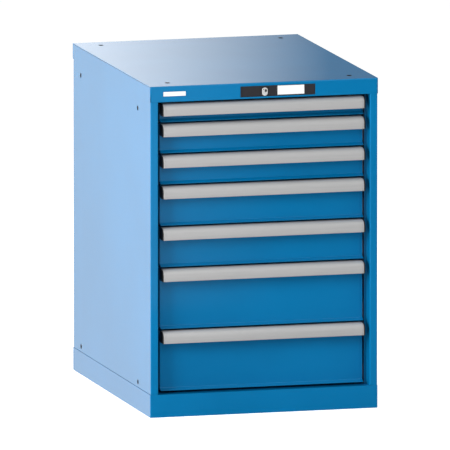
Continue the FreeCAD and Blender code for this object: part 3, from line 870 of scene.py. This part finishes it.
def channelSection(web, mouth, low, high):
    # a slide channel with bent corners, web and mouth given along X
    metal = rail["metal"] if mouth > web else -rail["metal"]
    thick = rail["metal"]
    bend = rail["bend"]
    edge = rail["edge"]
    return rounded([
        (mouth, low, edge),
        (web, low, bend),
        (web, high, bend),
        (mouth, high, edge),
        (mouth, high - thick, edge),
        (web + metal, high - thick, bend - thick),
        (web + metal, low + thick, bend - thick),
        (mouth, low + thick, edge),
    ], rail["steps"])


def addDrawerRails(number):
    low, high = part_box(f"drawer_{number}_rails")
    work = bmesh.new()
    for side in (-1, 1):
        web = (high.x - rail["depth"]) * side
        section = channelSection(web, high.x * side, low.z, high.z)
        prism(work, section, low.y, high.y, alongY)
    mesh = shaded(asMesh(work, "rails"))
    newPiece(f"drawerRails_{number}", mesh, "zinc_steel", f"drawer_{number}", f"drawer_{number}_rails")


def addCabinetRails():
    low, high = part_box("cabinet_rails")
    work = bmesh.new()
    for number in drawers:
        near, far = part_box(f"drawer_{number}_rails")
        for side in (-1, 1):
            section = channelSection(high.x * side, (high.x - rail["depth"]) * side, near.z, far.z)
            prism(work, section, low.y, high.y, alongY)
    newPiece("cabinetRails", shaded(asMesh(work, "rails")), "zinc_steel", "housing", "cabinet_rails")


slide = {
    "sheet": 2.2 * mm,
    "height": 30 * mm,
    "gap": 0.3 * mm,
    "slotPitch": 48 * mm,
    "slotLength": 26 * mm,
    "slotHeight": 9 * mm,
    "inset": 18 * mm,
    "spacing": 270 * mm,
    "tipRadius": 5 * mm,
    "body": 0.72,           # shares of a roller's width
    "shoulder": 0.1,
    "tip": 0.18,
}


def addSlide(number):
    low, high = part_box(f"slide_{number}_members")
    near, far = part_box(f"drawer_{number}_rails")
    inner = far.x + slide["gap"]
    middle = (near.z + far.z) / 2
    tall = slide["height"]
    length = high.y - low.y
    wheel = rail["depth"] - rail["metal"] - slide["gap"]
    radius = (far.z - near.z) / 2 - rail["metal"] - slide["gap"]
    work = bmesh.new()
    for side in (-1, 1):
        sheet = grown(
            sheetTree, "zinc_steel", Length=length, Height=tall, Sheet=slide["sheet"],
            Columns=int(length / slide["slotPitch"]), Rows=1, Pitch=slide["slotPitch"], RowPitch=tall,
            SlotWidth=slide["slotLength"], SlotHeight=slide["slotHeight"])
        x = inner if side > 0 else -inner - slide["sheet"]
        addGrown(work, sheet, standing(x, low.y, middle - tall / 2, "side"))
    newPiece(f"slideBars_{number}", shaded(asMesh(work, "bars")), "zinc_steel", f"slide_{number}",
             f"slide_{number}_members")

    # rollers: the inner pair runs in the drawer's rail, the outer pair in the cabinet's
    work = bmesh.new()
    fore = low.y + slide["inset"]
    aft = high.y - slide["inset"] - slide["spacing"]
    for side in (-1, 1):
        for start, face, outwards in ((fore, inner, False), (aft, inner + slide["sheet"], True)):
            row = grown(
                stackTree, "black_plastic", Count=2, Spacing=slide["spacing"], Radius=radius,
                Width=wheel * slide["body"], Shoulder=wheel * slide["shoulder"],
                TipRadius=slide["tipRadius"], Tip=wheel * slide["tip"])
            sign = 1 if outwards == (side > 0) else -1
            turn = Matrix(((0, 0, sign), (1, 0, 0), (0, sign, 0))).to_4x4()
            addGrown(work, row, Matrix.Translation((face * side, start, middle)) @ turn)
    newPiece(f"rollers_{number}", shaded(asMesh(work, "rollers")), "black_plastic", f"slide_{number}")


for number in drawers:
    addFront(number)
    addGrip(number)
    addEndCaps(number)
    addTray(number)
    addDrawerRails(number)
    addSlide(number)
addCabinetRails()
print("drawers ready")


# lock, labels and rivets


plate = {
    "more": 3 * mm,         # how much longer than the CAD one it is, to the left
    "back": 1 * mm,
    "seamLeft": 12.2 * mm,  # from the lock's axis
    "seamRight": 7.2 * mm,
    "seam": 0.5 * mm,
    "soft": 0.25 * mm,
}
topCap = {
    "sheet": 1.5 * mm,
    "bend": 2.5 * mm,
    "near": 0.01 * mm,
    "wider": 1.6,           # factors on the bend: front and rear, sides, lower edge
    "side": 0.4,
    "tighter": 0.2,
    "overlap": 2 * mm,      # of the lock plate over its window
    "windowRim": 3 * mm,
    # the painted shade strip near the top of each side: how far down it sits, how tall it is, its inset and
    # how proud it stands
    "seamDrop": 2.2 * mm,
    "seamTall": 0.8 * mm,
    "seamInset": 6.5 * mm,
    "seamProud": 0.06 * mm,
}


def widenWindow(spot, low, high, end):
    # the window's left end moves as far as the lock plate's
    atFront = spot.y < low.y + topCap["windowRim"] and spot.z < high.z - topCap["windowRim"]
    if atFront and abs(spot.x - end) < topCap["near"]:
        spot.x -= plate["more"]


def rebend(spot, low, high):
    # changes the outer bends: "near" lists the axes along which an outer face is close to the spot
    corner = [low[axis] if spot[axis] < (low[axis] + high[axis]) / 2 else high[axis] for axis in range(2)]
    corner.append(high.z)
    depths = [abs(spot[axis] - corner[axis]) for axis in range(3)]
    if any(abs(depth - topCap["sheet"]) < topCap["near"] / 10 for depth in depths):
        return  # on the sheet's inner face, which stays
    bend = topCap["bend"]
    near = [axis for axis in range(3) if depths[axis] < bend + topCap["near"]]
    if len(near) > 1:
        share = 1.0 if near == [1, 2] else 0.0  # between 0 and 1 around the upright corners
        if near[:2] == [0, 1]:
            share = math.atan2(bend - depths[1], max(bend - depths[0], 1e-9)) / (math.pi / 2)
        scale = topCap["side"] + (topCap["wider"] - topCap["side"]) * share
        for axis in near:
            spot[axis] = corner[axis] + (spot[axis] - corner[axis]) * scale
    elif near == [1] and spot.y < 0 and spot.z < low.z + bend:
        spot.y = low.y + depths[1] * topCap["tighter"]
    if spot.z < low.z + bend:
        spot.z = low.z + (spot.z - low.z) * topCap["tighter"]


def addTopCap():
    low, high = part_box("top_cap")
    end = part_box("lock_plate")[0].x + topCap["overlap"]
    mesh = merged("top_cap")
    for vert in mesh.vertices:
        widenWindow(vert.co, low, high, end)
        rebend(vert.co, low, high)
    newPiece("topCap", shaded(mesh), "cabinet_paint", "housing", "top_cap")

    # painted shade: a thin black strip near the top of each side, for the dark line where the top sheet meets
    # the sides
    work = bmesh.new()
    reach = high.y - topCap["seamInset"]
    foot = high.z - topCap["seamDrop"]
    for side in (-1, 1):
        left, right = sorted((high.x * side, (high.x + topCap["seamProud"]) * side))
        box(work, (left, -reach, foot), (right, reach, foot + topCap["seamTall"]))
    newPiece("topBendShade", asMesh(work, "seams"), "black_plastic", "housing")


def addLockPlate():
    # three covers side by side: the lock sits in the narrow one
    low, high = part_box("lock_plate")
    low.x -= plate["more"]
    gap = plate["seam"] / 2
    work = bmesh.new()
    left = centre("lock_plug").x - plate["seamLeft"]
    right = centre("lock_plug").x + plate["seamRight"]
    edges = [low.x, left - gap, left + gap, right - gap, right + gap, high.x]
    back = high.y - plate["back"]
    for start, end in zip(edges[::2], edges[1::2]):
        box(work, (start, low.y, low.z), (end, back, high.z))
    box(work, (low.x, back, low.z), (high.x, high.y, high.z))
    mesh = bevelled(asMesh(work, "plate"), plate["soft"])
    newPiece("lockPlate", mesh, "plate_plastic", "housing", "lock_plate")


lock = {
    "bore": 5 * mm,         # nothing changes this near to the axis
    "slim": 0.88,           # the body's width, and its height above the axis, against the CAD one
    "lower": 0.73,
    "near": 0.1 * mm,
    "edge": 0.25 * mm,
    "edgeSteps": 3,
    "plugEdge": 0.2 * mm,
}
darkOvals = {  # a black oval over the keyway, painted shade for its depth, and the small pin beside it: half sizes, from the axis
    "keywayShade": {
        "on": "lock_plug", "body": "lock", "right": 0.4 * mm, "up": 0, "wide": 2.6 * mm, "tall": 3.6 * mm},
    "lockPin": {
        "on": "lock_housing", "body": "housing", "right": -5 * mm, "up": 3.2 * mm, "wide": 1.2 * mm,
        "tall": 1.2 * mm},
}
oval = {"sides": 32, "proud": 0.12 * mm, "depth": 0.6 * mm, "edge": 0.08 * mm}


def addLock():
    shell = merged("lock_housing")
    middle = centre("lock_housing").x
    axis = centre("lock_plug")
    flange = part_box("lock_plate")[0].y
    for vert in shell.vertices:
        reach = math.hypot(vert.co.x - axis.x, vert.co.z - axis.z)
        if vert.co.y < flange + lock["near"] and reach > lock["bore"]:
            vert.co.x = middle + (vert.co.x - middle) * lock["slim"]
            if vert.co.z > axis.z:
                vert.co.z = axis.z + (vert.co.z - axis.z) * lock["lower"]
    mesh = bevelled(shell, lock["edge"], lock["edgeSteps"])
    newPiece("lockBody", mesh, "lock_chrome", "housing", "lock_housing")
    mesh = bevelled(merged("lock_plug"), lock["plugEdge"])
    newPiece("lockPlug", mesh, "lock_chrome", "lock", "lock_plug")
    for name, values in darkOvals.items():
        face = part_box(values["on"])[0].y
        x = axis.x + values["right"]
        z = axis.z + values["up"]
        work = bmesh.new()
        turns = [math.tau * step / oval["sides"] for step in range(oval["sides"])]
        ring = [(x + values["wide"] * math.cos(turn), z + values["tall"] * math.sin(turn)) for turn in turns]
        prism(work, ring, face - oval["proud"], face + oval["depth"], alongY)
        newPiece(name, bevelled(asMesh(work, name), oval["edge"]), "black_plastic", values["body"])


labels = {  # left and foot are from the lower left corner of what it is on
    "labelCard": {
        "on": "lock_plate",
        "left": 91.3 * mm,
        "foot": 4.9 * mm,
        "wide": 66 * mm,
        "tall": 21.8 * mm,
        "sunk": 0,              # how deep it lies in that face
        "edge": 0.15 * mm,
        "nodes": ["fascia_labels"],
    },
    "blankPlate": {
        "on": "top_cap",
        "left": 33 * mm,
        "foot": 14 * mm,
        "wide": 54.8 * mm,
        "tall": 10.6 * mm,
        "sunk": 0.6 * mm,
        "edge": 0.2 * mm,
        "nodes": [],
    },
}
labelThick = 0.6 * mm


def addLabels():
    for name, values in labels.items():
        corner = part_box(values["on"])[0]
        start = corner + Vector((values["left"], values["sunk"] - labelThick, values["foot"]))
        work = bmesh.new()
        box(work, start, start + Vector((values["wide"], labelThick, values["tall"])))
        mesh = bevelled(asMesh(work, name), values["edge"])
        newPiece(name, mesh, "label_white", "housing", *values["nodes"])


rivets = {
    "count": 6,
    "radius": 4 * mm,
    "head": 1.6 * mm,
    "body": 0.5 * mm,
    "shoulder": 0.7 * mm,
    "tip": 0.4 * mm,
    "tipRadius": 2.4 * mm,
    "smooth": 50,
}


def addRivets():
    low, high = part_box("back_rivets")
    radius = rivets["radius"]
    step = (high.z - low.z - radius * 2) / (rivets["count"] - 1)
    rear = high.y - rivets["head"]
    turn = Matrix(((0, 1, 0), (0, 0, 1), (1, 0, 0))).to_4x4()  # the row stands up, heads towards +Y
    work = bmesh.new()
    for x in (low.x + radius, high.x - radius):
        row = grown(
            stackTree, "zinc_steel", Count=rivets["count"], Spacing=step, Radius=radius, Width=rivets["body"],
            Shoulder=rivets["shoulder"], TipRadius=rivets["tipRadius"], Tip=rivets["tip"])
        addGrown(work, row, Matrix.Translation((x, rear, low.z + radius)) @ turn)
    mesh = shaded(asMesh(work, "rivets"), rivets["smooth"])
    newPiece("backRivets", mesh, "zinc_steel", "housing", "back_rivets")


addTopCap()
addLockPlate()
addLock()
addLabels()
addRivets()
print("lock, labels and rivets ready")


# stage: floor, light and camera


studio = {
    "ambient": 0.36,        # what the world gives to matt surfaces
    "mirrorFront": 0.02,    # what gloss sees in front of the cabinet
    "mirrorBack": 1.18,     # straight behind it
    "mirrorPlain": 0.7,     # above it and to the sides
    "aroundBack": (-0.35, 0.5),   # where one goes over into the next, as shares of the ray's direction
    "aroundUp": (0.2, 0.9),
    "behindBack": (0.6, 0.9),
    "behindRight": (-0.1, 0.25),
    "floorReach": 14.0,
    "floorColour": 0.72,
    "floorRoughness": 0.9,
    "floorGlow": 0.72,      # lifts the floor to white for the camera, and leaves the shadow
}


def studioWorld():
    world = bpy.data.worlds.new("studioWorld")
    scene.world = world
    world.use_nodes = True
    world.cycles.sampling_method = "NONE"  # so that gloss sees only its own part of the world
    start = Wire(world.node_tree)
    camera = start.node("ShaderNodeLightPath", output="Is Camera Ray")
    glossy = start.node("ShaderNodeLightPath", output="Is Glossy Ray")
    clear = start.node("ShaderNodeLightPath", output="Is Transmission Ray")
    direction = start.node("ShaderNodeTexCoord", output="Generated")
    along, back, up = (start.node("ShaderNodeSeparateXYZ", {0: direction}, output=axis) for axis in range(3))
    around = back.between(*studio["aroundBack"]).maths("MAXIMUM", up.between(*studio["aroundUp"]))
    behind = back.between(*studio["behindBack"]) * (1 - along.between(*studio["behindRight"]))
    mirror = around * (studio["mirrorPlain"] - studio["mirrorFront"]) + studio["mirrorFront"]
    mirror = mirror + behind * (studio["mirrorBack"] - studio["mirrorPlain"])
    plain = (1 - camera) * (1 - glossy) * (1 - clear)
    strength = camera + clear + glossy * mirror + plain * studio["ambient"]
    world.node_tree.links.new(strength.socket, world.node_tree.nodes["Background"].inputs["Strength"])
    world.node_tree.nodes["Background"].inputs["Color"].default_value = grey(1.0)


def stagePlane(name, corners):
    mesh = bpy.data.meshes.new(name)
    mesh.from_pydata(corners, [], [range(len(corners))])
    made = bpy.data.objects.new(name, mesh)
    scene.collection.objects.link(made)
    material = bpy.data.materials.new(name)
    material.use_nodes = True
    mesh.materials.append(material)
    return made, material.node_tree


def studioFloor():
    reach = studio["floorReach"]
    corners = [(-reach, -reach, 0), (reach, -reach, 0), (reach, reach, 0), (-reach, reach, 0)]
    made, tree = stagePlane("studioFloor", corners)
    made.visible_glossy = False
    start = Wire(tree)
    shader = tree.nodes["Principled BSDF"]
    shader.inputs["Base Color"].default_value = grey(studio["floorColour"])
    shader.inputs["Specular IOR Level"].default_value = 0.0
    shader.inputs["Roughness"].default_value = studio["floorRoughness"]
    shader.inputs["Emission Color"].default_value = grey(1.0)
    glow = start.node("ShaderNodeLightPath", output="Is Camera Ray") * studio["floorGlow"]
    tree.links.new(glow.socket, shader.inputs["Emission Strength"])


cardHalf = 2.5
cards = {  # brightest at the place "from", and darker to the right of it
    "backCard": {
        "y": 1.3, "low": 0.83, "high": 2.6, "bright": 1.56, "from": -0.015, "fall": 2.17, "least": 0.17},
    "frontCard": {
        "y": -1.6, "low": 0.05, "high": 1.2, "bright": 0.4, "from": 0.05, "fall": 1.1, "least": 0.02},
}


def reflectionCards():
    # pale boards behind and in front of the cabinet that only gloss sees
    for name, values in cards.items():
        edges = ((-1, "low"), (1, "low"), (1, "high"), (-1, "high"))
        corners = [(cardHalf * side, values["y"], values[height]) for side, height in edges]
        made, tree = stagePlane(name, corners)
        for ray in ("camera", "diffuse", "shadow", "transmission", "volume_scatter"):
            setattr(made, "visible_" + ray, False)
        start = Wire(tree)
        where = start.node("ShaderNodeTexCoord", output="Object")
        across = start.node("ShaderNodeSeparateXYZ", {0: where}, output=0)
        level = values["bright"] - (across - values["from"]) * values["fall"]
        level = level.maths("MAXIMUM", values["least"]).maths("MINIMUM", values["bright"])
        glow = start.node("ShaderNodeEmission", {"Color": grey(1.0), "Strength": level})
        tree.links.new(glow.socket, tree.nodes["Material Output"].inputs["Surface"])


lampTarget = (0, 0, 0.4)
lamps = {
    "key": {"place": (-0.7, -3.1, 2.7), "size": 2.2, "power": 32},
    "fill": {"place": (2.4, -2.3, 1.0), "size": 2.5, "power": 22},
    "top": {"place": (-0.1, 0.6, 3.6), "size": 2.5, "power": 50},
    "side": {"place": (-3.1, -1.3, 1.2), "size": 1.8, "power": 122},
}


def addLamps():
    for name, values in lamps.items():
        light = bpy.data.lights.new(name, "AREA")
        light.energy = values["power"]
        light.size = values["size"]
        lamp = bpy.data.objects.new(name, light)
        scene.collection.objects.link(lamp)
        lamp.location = values["place"]
        aim = Vector(lampTarget) - lamp.location
        lamp.rotation_euler = aim.to_track_quat("-Z", "Y").to_euler()
        lamp.visible_glossy = False


view = {
    "azimuth": -15.2,       # degrees to the left of the front
    "elevation": 9.16,
    "target": (0.0013, 0.0, 0.3988),
    "frame": 1.0831,        # width of the picture at the target
    "distance": 48.8,       # long lens: edges stay nearly parallel
    "sensor": 36.0,
    "clip": (1.0, 200.0),
}


def addCamera():
    data = bpy.data.cameras.new("camera")
    camera = bpy.data.objects.new("camera", data)
    scene.collection.objects.link(camera)
    azimuth = math.radians(view["azimuth"])
    elevation = math.radians(view["elevation"])
    away = Vector((math.sin(azimuth) * math.cos(elevation), -math.cos(azimuth) * math.cos(elevation),
                   math.sin(elevation)))
    camera.location = Vector(view["target"]) + away * view["distance"]
    camera.rotation_euler = (-away).to_track_quat("-Z", "Y").to_euler()
    data.sensor_width = view["sensor"]
    data.lens = view["sensor"] * view["distance"] / view["frame"]
    data.clip_start, data.clip_end = view["clip"]
    scene.camera = camera


studioWorld()
studioFloor()
reflectionCards()
addLamps()
addCamera()
scene.view_settings.view_transform = "Standard"
print("stage ready")
